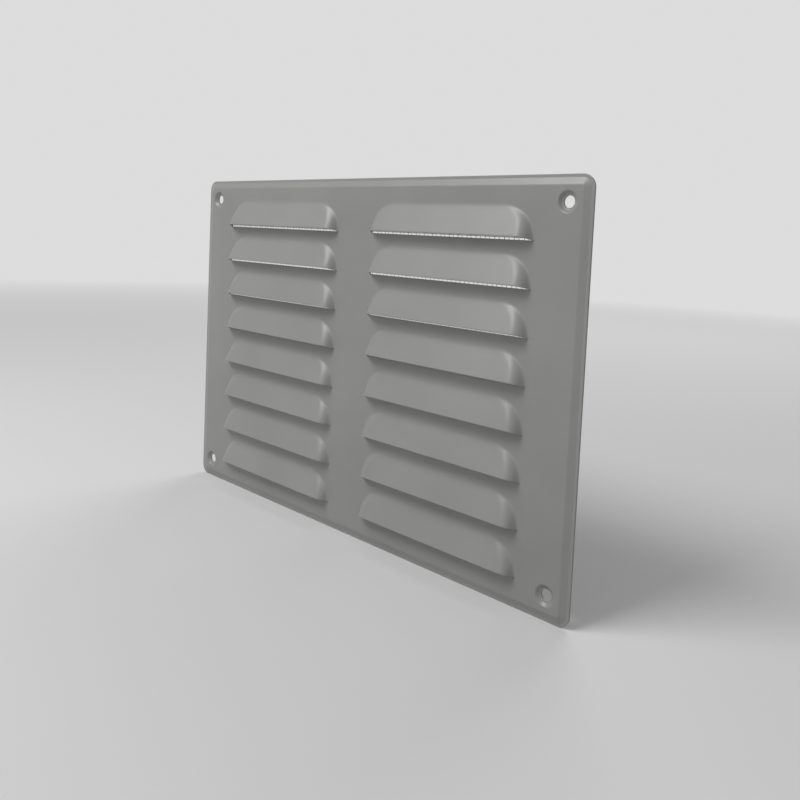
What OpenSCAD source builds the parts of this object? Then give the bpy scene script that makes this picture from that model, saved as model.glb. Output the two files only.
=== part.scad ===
// Louvred vent panel for a wall opening: one pressed metal sheet with two columns of
// louvre hoods that open downwards, and a woven insect screen bonded to its back.
// +X is to the right and +Z is up. The wall is the plane Y = 0 and the face looks along -Y.
// The origin is on the wall plane, midway between the four screw holes.

/* [Plate] */
// Width of the plate
plate_w = 240; // [170:1:400]
// Height of the plate
plate_h = 165; // [80:1:300]
// Thickness of the sheet
sheet_t = 0.8; // [0.6:0.1:1.2]
// Radius of the plate's corners
corner_r = 5; // [4.6:0.1:9]

/* [Border] */
// Width of the border that is bent back, flange included
border_w = 4.2; // [3.6:0.1:4.4]
// Width of the flat flange that touches the wall
flange_w = 1; // [0.6:0.1:1.2]
// How far the border sets the face off the wall
border_drop = 1.2; // [1:0.1:1.6]
// Radius of the outward bend between face and border
border_bend_r = 1.5; // [0.8:0.1:1.8]
// Radius of the inward bend between border and flange
flange_bend_r = 0.9; // [0.5:0.1:1]

/* [Screw holes] */
// Distance of each screw hole from the plate's edges
hole_inset = 10; // [9.5:0.1:12]
// Diameter of the screw holes
hole_d = 4.5; // [3.5:0.1:4.8]
// Diameter of the dimple round each screw hole, at the face
dimple_d = 8.2; // [7.6:0.1:9]
// Diameter of the dimple's flat floor
dimple_floor_d = 5.6; // [5.2:0.1:6]

/* [Louvres] */
// Distance from one louvre to the next one below
louvre_pitch = 18.3; // [16:0.1:22]
// Least distance of the louvres from the plate's top and bottom edges
louvre_margin = 11; // [11:0.5:14]
// How far the columns sit above the middle of the plate
louvre_raise = 0.5; // [0:0.1:0.6]
// Distance of the louvres from the plate's side edges
side_margin = 23.75; // [22:0.25:30]
// Distance between the two columns
column_gap = 22.5; // [14:0.5:40]
// Depth of a hood, from its cut to the top of its ramp
hood_rise = 13; // [11:0.1:14]
// Height of the lip above the face
lip_h = 4.8; // [4:0.1:5.5]
// How far the lip is drawn back from its cut
lip_draw = 1.2; // [0.6:0.1:1.6]
// Radius of the hood's shoulders, in the plane of the ramp
shoulder_r = 11; // [8:0.1:12]
// Radius of the knee between the ramp and the end walls
knee_r = 5.5; // [4:0.1:6]
// Slope of the end walls against the ramp, in degrees
wall_slope = 65; // [58:1:72]

/* [Insect screen] */
// Margin of the screen beyond the louvre openings
screen_margin = 3.5; // [2.5:0.5:4]
// Thickness of the screen, two wires where they cross
screen_t = 0.7; // [0.5:0.05:0.8]
// Width of the solid edge of the screen
screen_edge = 3; // [2:0.5:4]
// Gaps across the screen
screen_cols = 15; // [4:1:15]
// Gaps up the screen
screen_rows = 8; // [3:1:8]
// Width of the bars between the gaps
screen_bar = 2.4; // [1.5:0.1:3]
// Width of the wire ridges on the bars
wire_w = 0.8; // [0.4:0.1:1.2]

/* [Adhesive dabs] */
// Diameter of a dab where it meets the plate
dab_d = 9; // [7:0.5:10]
// Diameter of a dab on its other side
dab_back_d = 6.5; // [4:0.5:6.5]
// Thickness of a dab under the back of the plate
dab_t = 1; // [0.8:0.05:1.1]
// How far a dab reaches past the edge of the screen
dab_reach = 2.5; // [1.5:0.1:2.7]
// Dabs along the top and along the bottom edge
dabs_across = 4; // [2:1:6]
// Dabs along each side edge
dabs_up = 3; // [2:1:4]

/* [Hidden] */
$fn = 28;
// Straight pieces in each bend of a section
arc_steps = 4;

paint = [0.55, 0.55, 0.545];
wire = [0.72, 0.72, 0.7];
adhesive = [0.85, 0.82, 0.72];

// Heights over the wall, in the frame of the flat sheet: x right, y up, z out of the face
face_z = border_drop + sheet_t;
back_z = face_z - sheet_t;
// How far a cutting shape runs on past what it cuts
past = 4;

// Screw pattern
hole_dx = plate_w - 2 * hole_inset;
hole_dy = plate_h - 2 * hole_inset;

// Two columns share the plate's width
louvre_l = (plate_w - column_gap) / 2 - side_margin;
column_x = (column_gap + louvre_l) / 2;

// A column holds as many louvres as fit in the plate's height,
// and reaches from its lowest cut to the top of its highest ramp
last_row = floor((plate_h - 2 * louvre_margin - hood_rise) / louvre_pitch);
column_h = last_row * louvre_pitch + hood_rise;
first_cut_y = louvre_raise - column_h / 2;

// Ramp of a hood: the lip lies on it, and it ends at the face
ramp_slope = atan(lip_h / (hood_rise - lip_draw));
ramp_z0 = hood_rise * tan(ramp_slope);
ramp_l = hood_rise / cos(ramp_slope);

// Section of the hood's end walls, down from the plane of the ramp
knee_run = knee_r * sin(wall_slope);
knee_fall = knee_r * (1 - cos(wall_slope));
cut_fall = ramp_z0 * cos(ramp_slope);
wall_run = knee_run + (cut_fall - knee_fall) / tan(wall_slope);
body_fall = cut_fall + past;
body_run = knee_run + (body_fall - knee_fall) / tan(wall_slope);
shoulder_v = ramp_l - shoulder_r;
shoulder_x = louvre_l / 2 - wall_run - shoulder_r;
tail_v = -past;

// Border: two bends with a straight slope between them
slope_run = border_w - flange_w;
bends_r = border_bend_r + flange_bend_r;
slope_l = sqrt(slope_run * slope_run + border_drop * border_drop - 2 * bends_r * border_drop);
slope_a = atan2(bends_r, slope_l) - atan2(bends_r - border_drop, slope_run);

// Screen: three layers of equal height, with the wall in the middle one
screen_w = column_gap + 2 * (louvre_l + screen_margin);
screen_h = column_h + 2 * screen_margin;
screen_z = back_z - screen_t;
gap_dx = (screen_w - 2 * screen_edge + screen_bar) / screen_cols;
gap_dy = (screen_h - 2 * screen_edge + screen_bar) / screen_rows;
layer_h = screen_t / 3;
// From the screen's rim to the first ridge, so that each ridge is on the middle of its bar
ridge_inset = screen_edge - (screen_bar + wire_w) / 2;
// Height of a ridge that is sunk halfway into the wall
ridge_h = 1.5 * layer_h;

// Point on a circle
function on_circle(centre, r, a) = centre + r * [cos(a), sin(a)];

// Points along an arc about a centre, from one angle to another
function arc(centre, r, from, to) =
    [for (i = [0:arc_steps]) on_circle(centre, r, from + (to - from) * i / arc_steps)];

// Place of one of several like things spread evenly along a length, half a step in from its ends
function spread(i, count, length) = length * ((i + 0.5) / count - 0.5);

// Region under the border's outer surface, against the distance out from a corner's centre
module border_profile(depth) {
    face_bend = [corner_r - border_w, face_z - border_bend_r];
    flange_bend = [corner_r - flange_w, sheet_t + flange_bend_r];
    polygon(concat(
        [[0, -depth], [0, face_z]],
        arc(face_bend, border_bend_r, 90, 90 - slope_a),
        arc(flange_bend, flange_bend_r, -90 - slope_a, -90),
        [[corner_r, sheet_t], [corner_r, -depth]]
    ));
}

// Solid under the tray that the border makes of the sheet
module tray(depth) {
    inner_w = plate_w - 2 * corner_r;
    inner_h = plate_h - 2 * corner_r;
    translate([-inner_w / 2, -inner_h / 2, -depth]) cube([inner_w, inner_h, face_z + depth]);
    for (side = [0, 180]) rotate([0, 0, side]) {
        translate([inner_w / 2, inner_h / 2, 0]) rotate([90, 0, 0])
            linear_extrude(inner_h) border_profile(depth);
        translate([-inner_w / 2, inner_h / 2, 0]) rotate([90, 0, 90])
            linear_extrude(inner_w) border_profile(depth);
        for (m = [0, 1]) mirror([m, 0, 0])
            translate([inner_w / 2, inner_h / 2, 0])
                rotate_extrude(angle = 90) border_profile(depth);
    }
}

// Region inside the hood's wall: flat out to flat_r, then the knee, then the slope
module wall_profile(start_r, flat_r) {
    polygon(concat(
        [[start_r, 0]],
        arc([flat_r, -knee_r], knee_r, 90, 90 - wall_slope),
        [[flat_r + body_run, -body_fall], [start_r, -body_fall]]
    ));
}

// Body of a hood in the frame of its ramp: x along the cut, y up the ramp, z out of the ramp
module hood_body() {
    translate([-shoulder_x, shoulder_v, 0]) rotate([90, 0, 90])
        linear_extrude(2 * shoulder_x) wall_profile(tail_v - shoulder_v, shoulder_r);
    for (m = [0, 1]) mirror([m, 0, 0]) translate([shoulder_x, shoulder_v, 0]) {
        rotate_extrude(angle = 90) wall_profile(0, shoulder_r);
        rotate([90, 0, 0]) linear_extrude(shoulder_v - tail_v) wall_profile(0, shoulder_r);
    }
}

// Hood from under the face up to its lip, cut off by a plane that leans back from its cut
module hood(draw, under) {
    lean = atan(draw / lip_h);
    trim_w = louvre_l + 2 * past;
    trim_l = hood_rise + 2 * past;
    trim_h = under + ramp_z0 + past;
    intersection() {
        translate([0, 0, ramp_z0]) rotate([-ramp_slope, 0, 0]) hood_body();
        rotate([-lean, 0, 0]) translate([-trim_w / 2, 0, -past]) cube([trim_w, trim_l, past + trim_h]);
        translate([-trim_w / 2, -past, -under]) cube([trim_w, trim_l, trim_h]);
    }
}

// Puts its children at the cut of each louvre
module at_louvres() {
    for (side = [-1, 1], row = [0:last_row])
        translate([side * column_x, first_cut_y + row * louvre_pitch, 0]) children();
}

// Puts its children at each screw hole
module at_holes() {
    for (sx = [-1, 1], sy = [-1, 1]) translate([sx * hole_dx / 2, sy * hole_dy / 2, 0]) children();
}

// Sheet with everything that the press forms, in the frame of the flat sheet
module pressed_sheet() {
    difference() {
        union() {
            difference() {
                tray(0);
                translate([0, 0, -sheet_t]) tray(past);
            }
            at_louvres() translate([0, 0, face_z]) hood(lip_draw, sheet_t);
            at_holes() cylinder(d1 = dimple_floor_d, d2 = dimple_d, h = back_z);
        }
        at_louvres() translate([0, 0, back_z]) hood(0, past);
        at_holes() {
            translate([0, 0, sheet_t]) cylinder(d1 = dimple_floor_d, d2 = dimple_d, h = border_drop);
            translate([0, 0, -past]) cylinder(d = hole_d, h = 2 * past);
        }
    }
}

// Puts its children level with the columns of louvres
module behind_louvres() translate([0, louvre_raise, 0]) children();

// Gaps of the screen, cut right through its wall
module screen_gaps() {
    gap_w = gap_dx - screen_bar;
    gap_h = gap_dy - screen_bar;
    first_x = screen_edge - screen_w / 2;
    first_y = screen_edge - screen_h / 2;
    for (i = [0:screen_cols - 1], j = [0:screen_rows - 1])
        translate([first_x + i * gap_dx, first_y + j * gap_dy, screen_z])
            cube([gap_w, gap_h, screen_t]);
}

// Woven screen as one wall with gaps: upright wires lie to the front, level wires to the back
module screen_sheet() {
    wall_z = screen_z + layer_h;
    difference() {
        translate([-screen_w / 2, -screen_h / 2, wall_z]) cube([screen_w, screen_h, layer_h]);
        screen_gaps();
    }
    for (i = [0:screen_cols])
        translate([i * gap_dx - screen_w / 2 + ridge_inset, -screen_h / 2, back_z - ridge_h])
            cube([wire_w, screen_h, ridge_h]);
    for (j = [0:screen_rows])
        translate([-screen_w / 2, j * gap_dy - screen_h / 2 + ridge_inset, screen_z])
            cube([screen_w, wire_w, ridge_h]);
}

// Flat dab of adhesive with its wide side on the back of the plate
module dab() translate([0, 0, back_z - dab_t])
    cylinder(d1 = dab_back_d, d2 = dab_d, h = dab_t, $fn = 16);

// Dabs over the screen's edges, with room for the screen
module dabs() {
    dab_x = screen_w / 2 + dab_reach - dab_d / 2;
    dab_y = screen_h / 2 + dab_reach - dab_d / 2;
    difference() {
        for (side = [-1, 1]) {
            for (i = [0:dabs_across - 1])
                translate([spread(i, dabs_across, screen_w), side * dab_y, 0]) dab();
            for (j = [0:dabs_up - 1])
                translate([side * dab_x, spread(j, dabs_up, screen_h), 0]) dab();
        }
        translate([-screen_w / 2, -screen_h / 2, screen_z]) cube([screen_w, screen_h, screen_t + past]);
    }
}

module louvre_plate() color(paint) rotate([90, 0, 0]) pressed_sheet();
module insect_screen() color(wire) rotate([90, 0, 0]) behind_louvres() screen_sheet();
module screen_bonds() color(adhesive) rotate([90, 0, 0]) behind_louvres() dabs();

louvre_plate();
insect_screen();
screen_bonds();
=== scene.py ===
"""Looks of the louvred vent panel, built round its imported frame.

The sheet's own frame is x right, y up and z out of the face, with z 0 on the wall. The part's frame
has +Z up and the face looking along -Y. All lengths are in metres.
"""
import math

import bmesh
import bpy
import numpy as np
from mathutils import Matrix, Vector


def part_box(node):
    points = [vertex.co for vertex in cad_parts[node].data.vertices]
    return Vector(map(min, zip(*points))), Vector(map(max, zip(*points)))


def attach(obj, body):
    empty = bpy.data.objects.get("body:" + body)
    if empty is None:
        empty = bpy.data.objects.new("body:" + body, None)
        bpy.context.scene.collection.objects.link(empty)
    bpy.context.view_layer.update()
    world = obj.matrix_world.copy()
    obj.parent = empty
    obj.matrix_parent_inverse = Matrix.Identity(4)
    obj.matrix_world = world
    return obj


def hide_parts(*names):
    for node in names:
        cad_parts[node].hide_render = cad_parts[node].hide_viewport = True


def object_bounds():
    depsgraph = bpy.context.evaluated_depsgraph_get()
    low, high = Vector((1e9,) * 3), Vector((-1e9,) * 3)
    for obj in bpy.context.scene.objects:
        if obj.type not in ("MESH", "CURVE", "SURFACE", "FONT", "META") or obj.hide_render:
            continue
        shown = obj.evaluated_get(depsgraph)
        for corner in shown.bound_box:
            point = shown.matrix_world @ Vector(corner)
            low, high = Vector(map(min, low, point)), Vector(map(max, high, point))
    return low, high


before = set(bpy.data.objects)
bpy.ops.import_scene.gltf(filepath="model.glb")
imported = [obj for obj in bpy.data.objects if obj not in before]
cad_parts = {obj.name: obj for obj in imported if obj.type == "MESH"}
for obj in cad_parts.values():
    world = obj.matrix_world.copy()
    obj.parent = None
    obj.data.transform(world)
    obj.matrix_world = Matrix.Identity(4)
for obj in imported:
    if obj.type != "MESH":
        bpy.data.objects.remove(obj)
CAD_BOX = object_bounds()
MM = 0.001
rng = np.random.default_rng(7)

# Size of the sheet and of the border bent back round it
PLATE_LOW, PLATE_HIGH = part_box("louvre_plate")
HALF_W = PLATE_HIGH.x
HALF_H = PLATE_HIGH.z
SHEET_T = 0.8 * MM
CORNER_R = 5 * MM
BORDER_W = 4.2 * MM
FLANGE_W = 1 * MM
BORDER_DROP = 1.2 * MM
BORDER_BEND_R = 1.5 * MM
FLANGE_BEND_R = 0.9 * MM
FACE_Z = BORDER_DROP + SHEET_T
BACK_Z = FACE_Z - SHEET_T
# Rounding of the sheet's cut edges
EDGE_R = 0.16 * MM

# Screw holes and their dimples
HOLE_INSET = 10 * MM
HOLE_R = 2.25 * MM
DIMPLE_R = 4.1 * MM
DIMPLE_FLOOR_R = 2.8 * MM
DIMPLE_EDGE_R = 0.6 * MM
DIMPLE_SLOPE = BORDER_DROP / (DIMPLE_R - DIMPLE_FLOOR_R)
# Radii of the rings of faces on a dimple's wall and on its floor
WALL_RINGS = np.linspace(4.8, 3.0, 13) * MM
FLOOR_RINGS = np.linspace(2.88, 2.5, 4) * MM
# Directions round the rounding of a cut edge
EDGE_TURNS = np.radians([0, 30, 60, 90])

# Louvres
ROWS = 8
PITCH = 18.3 * MM
RAISE = 0.5 * MM
LOUVRE_L = 85 * MM
COLUMN_X = 53.75 * MM
HOOD_RISE = 13 * MM
LIP_H = 4.8 * MM
LIP_DRAW = 1.2 * MM
SHOULDER_R = 11 * MM
KNEE_R = 5.5 * MM
WALL_SLOPE = math.radians(65)
FIRST_CUT = RAISE - ((ROWS - 1) * PITCH + HOOD_RISE) / 2
# Radius of the bend where an end wall and where the ramp meets the face
WALL_ROOT_R = 0.9 * MM
RAMP_ROOT_R = 5 * MM

# Ramp and end walls of a hood
RAMP_SLOPE = math.atan(LIP_H / (HOOD_RISE - LIP_DRAW))
RAMP_COS = math.cos(RAMP_SLOPE)
RAMP_SIN = math.sin(RAMP_SLOPE)
RAMP_TAN = math.tan(RAMP_SLOPE)
RAMP_Z0 = HOOD_RISE * RAMP_TAN
WALL_TAN = math.tan(WALL_SLOPE)
KNEE_RUN = KNEE_R * math.sin(WALL_SLOPE)
KNEE_FALL = KNEE_R * (1 - math.cos(WALL_SLOPE))
WALL_RUN = KNEE_RUN + (RAMP_Z0 * RAMP_COS - KNEE_FALL) / WALL_TAN
SHOULDER_V = HOOD_RISE / RAMP_COS - SHOULDER_R
SHOULDER_X = LOUVRE_L / 2 - WALL_RUN - SHOULDER_R

# The grid of the face ends a corner radius inside the plate, with a square left open round each hole
GRID_X = HALF_W - CORNER_R
GRID_Y = HALF_H - CORNER_R
SQUARE = 2 * (HOLE_INSET - CORNER_R)
# How far up from its cut a hood and its root reach
HOOD_ZONE = HOOD_RISE + 1.3 * MM

# Screen
SCREEN_LOW, SCREEN_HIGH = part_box("insect_screen")
WIRE_R = (SCREEN_HIGH.y - SCREEN_LOW.y) / 4
SCREEN_W = SCREEN_HIGH.x - SCREEN_LOW.x
SCREEN_H = SCREEN_HIGH.z - SCREEN_LOW.z
WIRE_PITCH = 2.29 * MM

# Adhesive dabs
DAB_R = 4.5 * MM
DAB_T = 1 * MM
DAB_REACH = 2.5 * MM
DABS_ACROSS = 4
DABS_UP = 3
# Section of a dab, as shares of its radius and of its thickness
DAB_SECTION = (
    (1, 0), (0.99, 0.14), (0.955, 0.34), (0.89, 0.55),
    (0.78, 0.74), (0.62, 0.88), (0.4, 0.96), (0.18, 0.99),
)
# How far a dab's outline strays, as a share of its radius
DAB_WOBBLE = 0.045

# Colours, and the light from all sides
GREY = (0.25, 0.25, 0.246)
FLOOR_COLOR = (0.7, 0.7, 0.7)
BACKDROP = (0.72, 0.72, 0.72)
AMBIENT = (0.23, 0.23, 0.23)
FLOOR_R = 30
# Distances from the panel between which the floor runs into the backdrop
FADE_START = 0.25
FADE_END = 1.6


def to_part(points):
    """Points of the sheet's own frame in the part's frame."""
    p = np.asarray(points, float)
    return np.stack([p[..., 0], -p[..., 2], p[..., 1]], -1)


def wall_drop(out):
    """Fall below the plane of the ramp, at a distance out from the ramp's flat part."""
    on_knee = np.clip(out, 0, KNEE_RUN)
    knee = KNEE_R - np.sqrt(KNEE_R ** 2 - on_knee ** 2)
    return knee + np.maximum(out - KNEE_RUN, 0) * WALL_TAN


def root_slope(v):
    """Slope of the hood where it meets the face, at a place up its ramp."""
    drop = np.clip((RAMP_Z0 - v * RAMP_SIN) / RAMP_COS, 0, None)
    knee_drop = np.minimum(drop, KNEE_FALL)
    on_knee = np.sqrt(KNEE_R ** 2 - (KNEE_R - knee_drop) ** 2) / (KNEE_R - knee_drop)
    return np.hypot(np.minimum(on_knee, WALL_TAN), RAMP_TAN)


def hood_height(x, y):
    """Height of a pressed hood over the face, its roots blended into the face."""
    out_x = np.maximum(np.abs(x) - SHOULDER_X, 0)
    v = y / RAMP_COS
    for _ in range(60):
        out_v = np.maximum(v - SHOULDER_V, 0)
        drop = wall_drop(np.hypot(out_x, out_v) - SHOULDER_R)
        v = (y + drop * RAMP_SIN) / RAMP_COS
    body = RAMP_Z0 - v * RAMP_SIN - drop * RAMP_COS
    slope = root_slope(v)
    steep = (slope - RAMP_TAN) / (math.hypot(WALL_TAN, RAMP_TAN) - RAMP_TAN)
    radius = RAMP_ROOT_R + (WALL_ROOT_R - RAMP_ROOT_R) * np.sqrt(np.clip(steep, 0, 1))
    reach = radius * slope ** 2 / 2
    return soft_step(body, reach)


def lip_line(x, under=0.0):
    """How far an edge of the lip is drawn back from the cut, and the hood's height there."""
    back = np.zeros_like(x)
    height = back
    for _ in range(12):
        height = hood_height(x, back)
        back = LIP_DRAW * np.maximum(height - under, 0) / LIP_H
    return back, height


class Skin:
    """Vertices and faces of one piece, gathered before Blender makes it."""

    def __init__(self):
        self.points = []
        self.faces = []

    def add(self, points):
        first = len(self.points)
        self.points.extend(np.asarray(points, float).reshape(-1, 3).tolist())
        return list(range(first, len(self.points)))

    def face(self, *corners):
        loop = [c for i, c in enumerate(corners) if c != corners[i - 1]]
        if len(loop) > 2:
            self.faces.append(loop)

    def strip(self, row_a, row_b):
        for i in range(len(row_a) - 1):
            self.face(row_a[i], row_a[i + 1], row_b[i + 1], row_b[i])

    def strips(self, rows):
        for row_a, row_b in zip(rows, rows[1:]):
            self.strip(row_a, row_b)

    def piece(self, name, smooth_angle=50):
        data = bpy.data.meshes.new(name)
        data.from_pydata(to_part(np.array(self.points)).tolist(), [], self.faces)
        work = bmesh.new()
        work.from_mesh(data)
        bmesh.ops.delete(work, geom=[v for v in work.verts if not v.link_faces], context="VERTS")
        bmesh.ops.recalc_face_normals(work, faces=work.faces)
        work.to_mesh(data)
        work.free()
        data.shade_smooth()
        data.set_sharp_from_angle(angle=math.radians(smooth_angle))
        made = bpy.data.objects.new(name, data)
        bpy.context.scene.collection.objects.link(made)
        return made


def spaced(low, high, step):
    """Even places from low to high, about a step apart, without the last one."""
    count = max(1, round((high - low) / step))
    return list(low + (high - low) * np.arange(count) / count)


def louvre_ends():
    """Half lengths of a louvre: where its lip starts to rise, and where the slit under it ends."""
    x = np.linspace(SHOULDER_X + SHOULDER_R, LOUVRE_L / 2 + 4 * MM, 4001)
    height = lip_line(x)[1]
    tip = x[np.argmax(height <= 0)]
    hole_end = np.interp(-SHEET_T, -height, x)
    return float(tip), float(hole_end)


def lines_across(tip, hole_end):
    """Places of the grid's lines across the plate, closest together on the hoods' end walls."""
    flat_end = SHOULDER_X - 1 * MM
    wall_start = SHOULDER_X + SHOULDER_R - 2 * MM
    half = spaced(0, flat_end, 12.5 * MM) + spaced(flat_end, wall_start, 1.1 * MM)
    half += spaced(wall_start, hole_end, 0.5 * MM) + spaced(hole_end, tip, 0.32 * MM) + [tip]
    column = [COLUMN_X + x for x in [-x for x in half[:0:-1]] + half]
    right = [0.0, column[0] / 2] + column[:-1]
    right += spaced(column[-1], GRID_X - SQUARE, 2.5 * MM)
    right += spaced(GRID_X - SQUARE, GRID_X, 1.25 * MM) + [GRID_X]
    return np.array([-x for x in right[:0:-1]] + right)


def lines_up():
    """Places of the grid's lines from a cut up to the next one, through the corners of the squares."""
    last_cut = FIRST_CUT + (ROWS - 1) * PITCH
    low_corner = SQUARE - GRID_Y - FIRST_CUT
    high_corner = GRID_Y - SQUARE - last_cut
    lines = spaced(0, low_corner, 0.6 * MM) + spaced(low_corner, high_corner, 0.62 * MM)
    lines += spaced(high_corner, HOOD_ZONE, 0.6 * MM) + spaced(HOOD_ZONE, PITCH, 1.9 * MM)
    return np.array(lines + [PITCH])


def soft_step(value, reach):
    """The value where it is over zero, and zero under it, with a smooth turn between."""
    blended = (np.clip(value, -reach, reach) + reach) ** 2 / (4 * reach)
    return np.where(value > reach, value, blended)


def dimple_depth(r):
    """Depth of a dimple under the sheet round it, at a distance from its middle."""
    reach = DIMPLE_EDGE_R * DIMPLE_SLOPE ** 2 / 2
    wall = soft_step((DIMPLE_R - r) * DIMPLE_SLOPE, reach)
    return BORDER_DROP - soft_step(BORDER_DROP - wall, reach)


def cut_edge(r, level, out, up):
    """Section of a rounded cut edge, as distances out and heights."""
    falls = [EDGE_R * (1 - math.cos(a)) for a in EDGE_TURNS]
    steps = [EDGE_R * (1 - math.sin(a)) for a in EDGE_TURNS]
    return [(r + out * step, level - up * fall) for step, fall in zip(steps, falls)]


def curve_over(start, corner, end):
    """Points on a short round curve that replaces a sharp corner, ends included."""
    steps = np.linspace(0, 1, 4)[:, None, None]
    return (1 - steps) ** 2 * start + 2 * steps * (1 - steps) * corner + steps ** 2 * end


class PressedSheet:
    """The pressed sheet as one closed skin."""

    def __init__(self):
        self.skin = Skin()
        self.block_y = {}
        tip, hole_end = louvre_ends()
        self.xs = lines_across(tip, hole_end)
        self.local = np.abs(self.xs) - COLUMN_X
        self.inside = np.abs(self.local) < tip - 1e-9
        self.at_hole_end = np.abs(np.abs(self.local) - hole_end) < 1e-9
        self.over_hole = np.abs(self.local) < hole_end - 1e-9
        self.front = self.rows_of_skin(FACE_Z, 0.0)
        self.behind = self.rows_of_skin(BACK_Z, SHEET_T)
        self.grids()
        self.slits()
        for sx in (-1, 1):
            for sy in (-1, 1):
                self.hole(sx, sy)
        self.border()

    def rows_of_skin(self, level, under):
        """Blocks of rows of vertices: one below the first cut and one above each cut."""
        xs = self.xs
        flat = np.full_like(xs, level)
        drawn, lip = lip_line(self.local, under)
        lift = np.maximum(lip - under, 0)
        round_r = np.where(self.inside, np.minimum(EDGE_R, 0.4 * lift), 0)
        drawn = np.where(self.inside, drawn, 0) + round_r
        share = np.clip(1 - lines_up() / HOOD_ZONE, 0, 1)[:, None]
        up = lines_up()[:, None] + drawn * share
        height = np.where(self.inside, hood_height(np.broadcast_to(self.local, up.shape), up), 0)
        edge_back = np.where(self.over_hole, EDGE_R, 0) if under == 0 else 0 * xs

        def place(y, z):
            return self.skin.add(np.stack([xs, np.broadcast_to(y, xs.shape), z], 1))

        low = spaced(-GRID_Y, FIRST_CUT, 1.5 * MM)
        blocks = [[place(y, flat) for y in low] + [place(FIRST_CUT - edge_back, flat)]]
        self.block_y[0] = np.array(low + [FIRST_CUT])
        for row in range(ROWS):
            cut = FIRST_CUT + row * PITCH
            block = []
            ys = []
            for j, offset in enumerate(lines_up()):
                if cut + offset > GRID_Y - 0.5 * MM:
                    break
                last = j == len(lines_up()) - 1
                block.append(place(cut + up[j] - (edge_back if last else 0), level + height[j]))
                ys.append(cut + offset)
            if row == ROWS - 1:
                rest = spaced(ys[-1], GRID_Y, 1.5 * MM)[1:] + [GRID_Y]
                block += [place(y, flat) for y in rest]
                ys += rest
            below = blocks[-1][-1]
            block[0] = [v if self.inside[i] else below[i] for i, v in enumerate(block[0])]
            if under:
                face_row = self.front[row][-1]
                block[0] = [face_row[i] if self.at_hole_end[i] else v for i, v in enumerate(block[0])]
            blocks.append(block)
            self.block_y[row + 1] = np.array(ys)
        return blocks

    def grids(self):
        """Faces of both skins, apart from the squares round the holes."""
        mid_x = (self.xs[:-1] + self.xs[1:]) / 2
        in_columns = np.abs(mid_x) > GRID_X - SQUARE
        for blocks in (self.front, self.behind):
            for b, rows in enumerate(blocks):
                ys = self.block_y[b]
                for j in range(len(rows) - 1):
                    in_rows = abs(ys[j] + ys[j + 1]) / 2 > GRID_Y - SQUARE
                    for i in range(len(self.xs) - 1):
                        if not (in_rows and in_columns[i]):
                            below, above = rows[j], rows[j + 1]
                            self.skin.face(below[i], below[i + 1], above[i + 1], above[i])

    def slits(self):
        """Cut faces along each slit: the lip's edge over it and the plate's edge under it."""
        points = np.array(self.skin.points)
        front_y, front_h = lip_line(self.local)
        behind_y, behind_h = lip_line(self.local, SHEET_T)
        lean = np.array([0, LIP_DRAW, LIP_H]) / math.hypot(LIP_DRAW, LIP_H)
        marks = np.flatnonzero(np.diff(self.inside.astype(int)))
        for row in range(ROWS):
            cut = FIRST_CUT + row * PITCH
            for start, stop in zip(marks[::2], marks[1::2] + 1):
                cols = np.arange(start, stop + 1)
                top, low = self.front[row + 1][0], self.front[row][-1]
                top_back, low_back = self.behind[row + 1][0], self.behind[row][-1]
                x = self.xs[cols]
                corner = np.stack([x, cut + front_y[cols], FACE_Z + front_h[cols]], 1)
                lift = np.minimum(EDGE_R, 0.4 * front_h[cols])[:, None]
                lip_front = curve_over(points[[top[c] for c in cols]], corner, corner - lean * lift)
                corner = np.stack([x, cut + behind_y[cols], BACK_Z + behind_h[cols]], 1)
                lift = np.minimum(EDGE_R, 0.4 * np.maximum(behind_h[cols] - SHEET_T, 0))[:, None]
                lip_back = curve_over(corner + lean * lift, corner, points[[top_back[c] for c in cols]])
                corner = np.stack([x, np.full_like(x, cut), np.full_like(x, FACE_Z)], 1)
                down = np.where(self.over_hole[cols], EDGE_R, 0)[:, None] * np.array([0, 0, 1])
                plate_edge = curve_over(points[[low[c] for c in cols]], corner, corner - down)
                self.slit(cols, top, low, top_back, low_back, lip_front, lip_back, plate_edge)

    def slit(self, cols, top, low, top_back, low_back, lip_front, lip_back, plate_edge):
        ends = np.flatnonzero(self.at_hole_end[cols])
        first, last = ends[0], ends[-1]
        tips = (0, len(cols) - 1)
        add = self.skin.add

        def row_of(points, joined):
            ids = add(points)
            return [joined.get(i, v) for i, v in enumerate(ids)]

        top_ids = [top[c] for c in cols]
        low_ids = [low[c] for c in cols]
        tip_ids = {i: top_ids[i] for i in tips}
        lip_rows = [top_ids] + [row_of(p, tip_ids) for p in lip_front[1:]]
        end_ids = {i: low_ids[i] for i in (first, last)}
        under_rows = [row_of(p, end_ids) for p in lip_back[:-1]] + [[top_back[c] for c in cols]]
        edge_rows = [low_ids] + [row_of(p, end_ids) for p in plate_edge[1:]]
        low_back_ids = [low_back[c] for c in cols]
        self.skin.strips(lip_rows)
        for part in (slice(0, first + 1), slice(last, len(cols))):
            self.skin.strip(lip_rows[-1][part], low_ids[part])
            self.skin.strip([top_back[c] for c in cols][part], low_back_ids[part])
        middle = slice(first, last + 1)
        self.skin.strips([r[middle] for r in [lip_rows[-1]] + under_rows])
        self.skin.strips([r[middle] for r in edge_rows + [low_back_ids]])

    def column(self, blocks, i):
        """Vertices up one line of the grid that no slit crosses."""
        ids = [row[i] for row in blocks[0]]
        for block in blocks[1:]:
            ids += [row[i] for row in block[1:]]
        return ids

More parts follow.
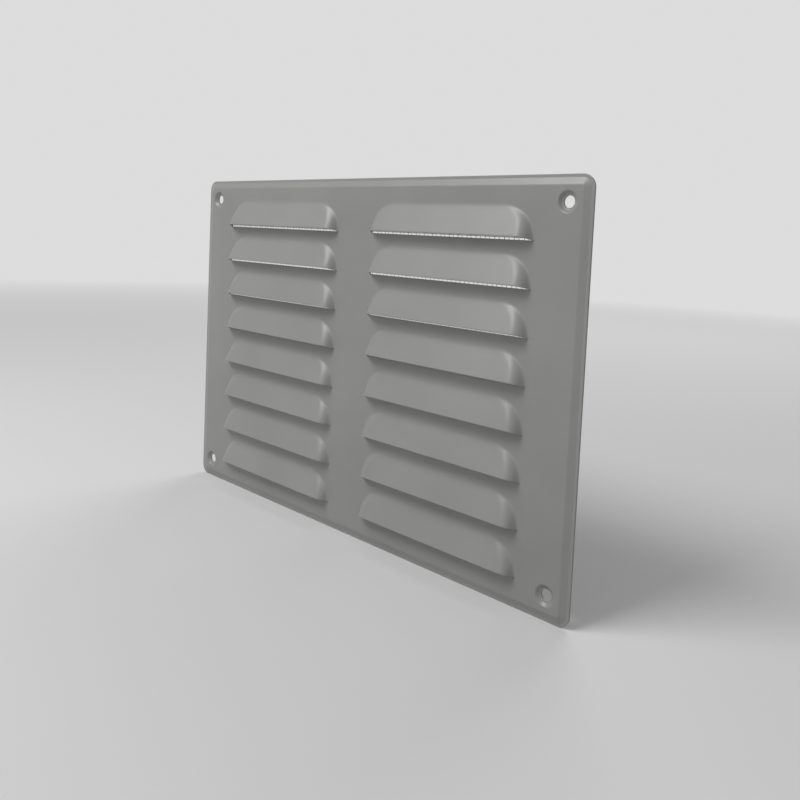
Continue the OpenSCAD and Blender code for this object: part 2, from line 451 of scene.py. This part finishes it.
    def hole(self, sx, sy):
        """Dimple and screw hole, in the square that the grid leaves open."""
        xs = self.xs
        cols = [i for i, x in enumerate(xs) if GRID_X - SQUARE - 1e-9 <= sx * x <= GRID_X + 1e-9]
        centre = np.array([sx * (HALF_W - HOLE_INSET), sy * (HALF_H - HOLE_INSET)])
        rings = []
        for blocks, level in ((self.front, FACE_Z), (self.behind, BACK_Z)):
            loops = [self.column(blocks, c) for c in cols]
            ys = np.array([self.skin.points[v][1] for v in loops[0]])
            keep = np.flatnonzero((sy * ys >= GRID_Y - SQUARE - 1e-9) & (sy * ys <= GRID_Y + 1e-9))
            grid = [[line[k] for k in keep] for line in loops]
            loop = [g[0] for g in grid] + grid[-1][1:] + [g[-1] for g in grid[-2::-1]] + grid[0][-2:0:-1]
            at = np.array([self.skin.points[v][:2] for v in loop]) - centre
            around = at / np.linalg.norm(at, axis=1)[:, None]
            sign = 1 if level == FACE_Z else -1
            floor_z = level - dimple_depth(HOLE_R)
            profile = [(r, level - dimple_depth(r)) for r in (*WALL_RINGS, *FLOOR_RINGS)]
            profile += cut_edge(HOLE_R, floor_z, 1, sign)
            made = [loop]
            for r, z in profile:
                ring = centre + around * r
                made.append(self.skin.add(np.column_stack([ring, np.full(len(ring), z)])))
            self.skin.strips([row + row[:1] for row in made])
            rings.append(made[-1])
        self.skin.strip(rings[0] + rings[0][:1], rings[1] + rings[1][:1])

    def border(self):
        """Border bent back from the face, with its flange, along the plate's four sides."""
        run = BORDER_W - FLANGE_W
        bends = BORDER_BEND_R + FLANGE_BEND_R
        straight = math.sqrt(run ** 2 + BORDER_DROP ** 2 - 2 * bends * BORDER_DROP)
        slope = math.atan2(bends, straight) - math.atan2(bends - BORDER_DROP, run)
        turn = np.linspace(0, slope, 5)
        rims = []
        for blocks, level in ((self.front, FACE_Z), (self.behind, BACK_Z)):
            sign = 1 if level == FACE_Z else -1
            face_bend = [(CORNER_R - BORDER_W + BORDER_BEND_R * math.sin(a),
                          level - BORDER_BEND_R * (1 - math.cos(a))) for a in turn]
            low = level - BORDER_DROP
            flange_bend = [(CORNER_R - FLANGE_W - FLANGE_BEND_R * math.sin(a),
                            low + FLANGE_BEND_R * (1 - math.cos(a))) for a in turn[::-1]]
            profile = face_bend + flange_bend + cut_edge(CORNER_R, low, -1, sign)
            base, out = self.stations(blocks)
            at = np.array([self.skin.points[v][:2] for v in base])
            rows = [base]
            for q, z in profile:
                place = at + out * q
                rows.append(self.skin.add(np.column_stack([place, np.full(len(place), z)])))
            self.skin.strips([row + row[:1] for row in rows])
            rims.append(rows[-1])
        self.skin.strip(rims[0] + rims[0][:1], rims[1] + rims[1][:1])

    def stations(self, blocks):
        """Vertices round the grid's edge with their outward directions, fanned at the corners."""
        right = self.column(blocks, len(self.xs) - 1)
        left = self.column(blocks, 0)[::-1]
        top = blocks[-1][-1][::-1]
        bottom = blocks[0][0]
        base, out = [], []
        for k, line in enumerate((right, top, left, bottom)):
            for i, v in enumerate(line):
                turns = np.linspace(0, 90, 13)[:-1] if i == len(line) - 1 else [0]
                if i == 0:
                    turns = [0]
                for a in turns:
                    angle = math.radians(90 * k + a)
                    base.append(v)
                    out.append((math.cos(angle), math.sin(angle)))
        return base, np.array(out)


def woven_wires(name, across, along, over):
    """Wires at each place across, woven over and under the ones at each place along."""
    mid = BACK_Z - 2 * WIRE_R
    turns = np.radians(90 + 60 * np.arange(6))
    ends = [along[0] - SCREEN_ENDS[over], along[-1] + SCREEN_ENDS[over]]
    flat = 0.22 * WIRE_PITCH
    skin = Skin()
    for i, side in enumerate(across):
        places, heights = [ends[0]], []
        for j, place in enumerate(along):
            places += [place - flat, place + flat]
            heights += [1 if (i + j + over) % 2 else -1] * 2
        places.append(ends[1])
        heights = np.array([heights[0]] + heights + [heights[-1]]) * WIRE_R
        rings = []
        for place, height in zip(places, heights):
            ring = np.empty((6, 3))
            ring[:, over] = side + WIRE_R * np.cos(turns)
            ring[:, 1 - over] = place
            ring[:, 2] = mid + height + WIRE_R * np.sin(turns)
            rings.append(skin.add(ring))
        skin.strips([ring + ring[:1] for ring in rings])
        skin.face(*rings[0])
        skin.face(*rings[-1])
    return skin.piece(name)


def wire_places(low, high):
    """Places of the wires between two edges of the screen, and the length of their free ends."""
    count = int((high - low) / WIRE_PITCH)
    first = (low + high - (count - 1) * WIRE_PITCH) / 2
    return first + WIRE_PITCH * np.arange(count), first - low


def dab(skin, x, y):
    """A dab of adhesive pressed through the screen against the back of the plate."""
    around = np.linspace(0, 2 * math.pi, 28, endpoint=False)
    waves = [(n, rng.uniform(0.2, 1) / n, rng.uniform(0, 2 * math.pi)) for n in (2, 3, 4, 5)]
    wobble = sum(a * np.sin(n * around + p) for n, a, p in waves)
    rings = []
    for r, depth in DAB_SECTION:
        radius = DAB_R * r * (1 - DAB_WOBBLE + DAB_WOBBLE * wobble * (0.4 + 0.6 * r))
        ring = np.column_stack([x + radius * np.cos(around), y + radius * np.sin(around),
                                np.full(len(around), BACK_Z - DAB_T * depth)])
        rings.append(skin.add(ring))
    skin.strips([ring + ring[:1] for ring in rings])
    skin.face(*rings[0])
    top = skin.add([x, y, BACK_Z - DAB_T])[0]
    for a, b in zip(rings[-1], rings[-1][1:] + rings[-1][:1]):
        skin.face(a, b, top)


def adhesive_dabs():
    skin = Skin()
    dab_x = SCREEN_W / 2 + DAB_REACH - DAB_R
    dab_y = SCREEN_H / 2 + DAB_REACH - DAB_R
    for side in (-1, 1):
        for i in range(DABS_ACROSS):
            dab(skin, SCREEN_W * ((i + 0.5) / DABS_ACROSS - 0.5), RAISE + side * dab_y)
        for j in range(DABS_UP):
            dab(skin, side * dab_x, RAISE + SCREEN_H * ((j + 0.5) / DABS_UP - 0.5))
    return skin.piece("adhesive_dabs")


class Finish:
    """A node material built round one Principled shader."""

    def __init__(self, name, color, **values):
        self.material = bpy.data.materials.new(name)
        self.material.use_nodes = True
        self.nodes = self.material.node_tree.nodes
        self.links = self.material.node_tree.links
        self.shader = self.nodes["Principled BSDF"]
        self.shader.inputs["Base Color"].default_value = (*color, 1)
        self.place = self.nodes.new("ShaderNodeTexCoord").outputs["Object"]
        for socket, value in values.items():
            self.shader.inputs[socket.replace("_", " ")].default_value = value

    def noise(self, size, detail=2.0, rough=0.5):
        node = self.nodes.new("ShaderNodeTexNoise")
        node.inputs["Scale"].default_value = 1 / size
        node.inputs["Detail"].default_value = detail
        node.inputs["Roughness"].default_value = rough
        self.links.new(self.place, node.inputs["Vector"])
        return node.outputs["Fac"]

    def spread(self, source, low, high, start=0.3, stop=0.7):
        node = self.nodes.new("ShaderNodeMapRange")
        node.inputs["From Min"].default_value = start
        node.inputs["From Max"].default_value = stop
        node.inputs["To Min"].default_value = low
        node.inputs["To Max"].default_value = high
        self.links.new(source, node.inputs["Value"])
        return node.outputs["Result"]

    def color_between(self, share, low, high):
        node = self.nodes.new("ShaderNodeMix")
        node.data_type = "RGBA"
        node.inputs["A"].default_value = (*low, 1)
        node.inputs["B"].default_value = (*high, 1)
        self.links.new(share, node.inputs["Factor"])
        self.links.new(node.outputs["Result"], self.shader.inputs["Base Color"])

    def drive(self, socket, value):
        self.links.new(value, self.shader.inputs[socket])

    def bump(self, height, distance, strength=1.0, before=None):
        node = self.nodes.new("ShaderNodeBump")
        node.inputs["Strength"].default_value = strength
        node.inputs["Distance"].default_value = distance
        self.links.new(height, node.inputs["Height"])
        if before:
            self.links.new(before, node.inputs["Normal"])
        self.links.new(node.outputs["Normal"], self.shader.inputs["Normal"])
        return node.outputs["Normal"]

    def on(self, piece):
        piece.data.materials.clear()
        piece.data.materials.append(self.material)


def painted_finish():
    """Satin grey powder coat: faint orange peel, and tone and gloss that drift a little."""
    paint = Finish("satin_grey_powder_coat", GREY, Specular_IOR_Level=0.5)
    drift = paint.noise(45 * MM, 2)
    paint.color_between(paint.spread(drift, 0, 1), [0.95 * c for c in GREY], [1.05 * c for c in GREY])
    paint.drive("Roughness", paint.spread(paint.noise(9 * MM, 3), 0.36, 0.43))
    peel = paint.noise(1.5 * MM, 1.5, 0.4)
    paint.bump(peel, 0.006 * MM)
    return paint


def wire_finish():
    wire = Finish("drawn_aluminium_wire", (0.62, 0.62, 0.61), Metallic=1.0)
    dull = wire.noise(7 * MM, 3)
    wire.color_between(wire.spread(dull, 0, 1), (0.5, 0.5, 0.49), (0.68, 0.68, 0.67))
    wire.drive("Roughness", wire.spread(wire.noise(0.7 * MM, 2), 0.28, 0.45))
    return wire


def adhesive_finish():
    glue = Finish("set_adhesive", (0.72, 0.68, 0.56), Specular_IOR_Level=0.4)
    glue.color_between(glue.spread(glue.noise(2.4 * MM, 3), 0, 1), (0.66, 0.61, 0.49), (0.76, 0.72, 0.61))
    glue.drive("Roughness", glue.spread(glue.noise(1.1 * MM, 2), 0.5, 0.68))
    glue.bump(glue.noise(0.9 * MM, 2), 0.03 * MM)
    return glue


def is_seen(nodes, links):
    """1 for rays from the camera, in gloss or through glass, and 0 for the light that falls on things."""
    path = nodes.new("ShaderNodeLightPath")
    total = path.outputs["Is Camera Ray"]
    for kind in ("Is Glossy Ray", "Is Transmission Ray"):
        add = nodes.new("ShaderNodeMath")
        add.operation = "MAXIMUM"
        links.new(total, add.inputs[0])
        links.new(path.outputs[kind], add.inputs[1])
        total = add.outputs[0]
    return total


def pale_world():
    world = bpy.data.worlds.new("pale_world")
    bpy.context.scene.world = world
    world.use_nodes = True
    nodes, links = world.node_tree.nodes, world.node_tree.links
    plain = nodes["Background"]
    plain.inputs["Color"].default_value = (*AMBIENT, 1)
    plain.inputs["Strength"].default_value = 1
    backdrop = nodes.new("ShaderNodeBackground")
    backdrop.inputs["Color"].default_value = (*BACKDROP, 1)
    mix = nodes.new("ShaderNodeMixShader")
    links.new(is_seen(nodes, links), mix.inputs["Fac"])
    links.new(plain.outputs[0], mix.inputs[1])
    links.new(backdrop.outputs[0], mix.inputs[2])
    links.new(mix.outputs[0], nodes["World Output"].inputs["Surface"])


def floor():
    """Pale floor that the panel's lower edge stands on; far from it, it runs into the backdrop."""
    level = CAD_BOX[0][2]
    around = np.linspace(0, 2 * math.pi, 96, endpoint=False)
    points = [(FLOOR_R * math.cos(a), FLOOR_R * math.sin(a), level) for a in around]
    data = bpy.data.meshes.new("floor")
    data.from_pydata(points, [], [list(range(len(points)))])
    made = bpy.data.objects.new("floor", data)
    bpy.context.scene.collection.objects.link(made)
    pale = Finish("pale_floor", FLOOR_COLOR, Roughness=0.9, Specular_IOR_Level=0.1)
    nodes, links = pale.nodes, pale.links
    away = nodes.new("ShaderNodeVectorMath")
    away.operation = "LENGTH"
    links.new(pale.place, away.inputs[0])
    fade = pale.spread(away.outputs["Value"], 0, 1, FADE_START, FADE_END)
    seen = nodes.new("ShaderNodeMath")
    seen.operation = "MULTIPLY"
    links.new(fade, seen.inputs[0])
    links.new(is_seen(nodes, links), seen.inputs[1])
    glow = nodes.new("ShaderNodeEmission")
    glow.inputs["Color"].default_value = (*BACKDROP, 1)
    mix = nodes.new("ShaderNodeMixShader")
    links.new(seen.outputs[0], mix.inputs["Fac"])
    links.new(pale.shader.outputs[0], mix.inputs[1])
    links.new(glow.outputs[0], mix.inputs[2])
    links.new(mix.outputs[0], nodes["Material Output"].inputs["Surface"])
    pale.on(made)


def lamp(name, place, size, power, aim=(0, 0, 0)):
    data = bpy.data.lights.new(name, "AREA")
    data.shape = "RECTANGLE"
    data.size, data.size_y = size
    data.energy = power
    made = bpy.data.objects.new(name, data)
    bpy.context.scene.collection.objects.link(made)
    made.location = place
    made.rotation_euler = (Vector(aim) - Vector(place)).to_track_quat("-Z", "Y").to_euler()
    return made


def camera():
    made = bpy.data.objects.new("camera", bpy.data.cameras.new("camera"))
    bpy.context.scene.collection.objects.link(made)
    bpy.context.scene.camera = made
    made.location = (0.25869, -0.24457, 0.05870)
    made.rotation_euler = [math.radians(a) for a in (86.232, -2.574, 43.517)]
    made.data.sensor_width = 36
    made.data.lens = 34.9593
    made.data.shift_y = -0.1451


def dress(piece, node, finish):
    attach(piece, "root")
    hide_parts(node)
    finish.on(piece)


dress(PressedSheet().skin.piece("pressed_plate"), "louvre_plate", painted_finish())
upright, free_across = wire_places(SCREEN_LOW.x, SCREEN_HIGH.x)
level, free_up = wire_places(SCREEN_LOW.z, SCREEN_HIGH.z)
SCREEN_ENDS = (free_up, free_across)
wire = wire_finish()
dress(woven_wires("woven_wires_upright", upright, level, 0), "insect_screen", wire)
dress(woven_wires("woven_wires_level", level, upright, 1), "insect_screen", wire)
dress(adhesive_dabs(), "screen_bonds", adhesive_finish())

pale_world()
floor()
camera()
lamp("key_lamp", (-0.25, -0.62, 0.8), (0.6, 0.45), 7.6)
lamp("fill_lamp", (0.25, -1.2, 0.35), (0.8, 0.8), 1.5)
lamp("back_lamp", (-0.3, 0.9, 0.7), (0.8, 0.8), 4)

bpy.context.scene.view_settings.view_transform = "Standard"
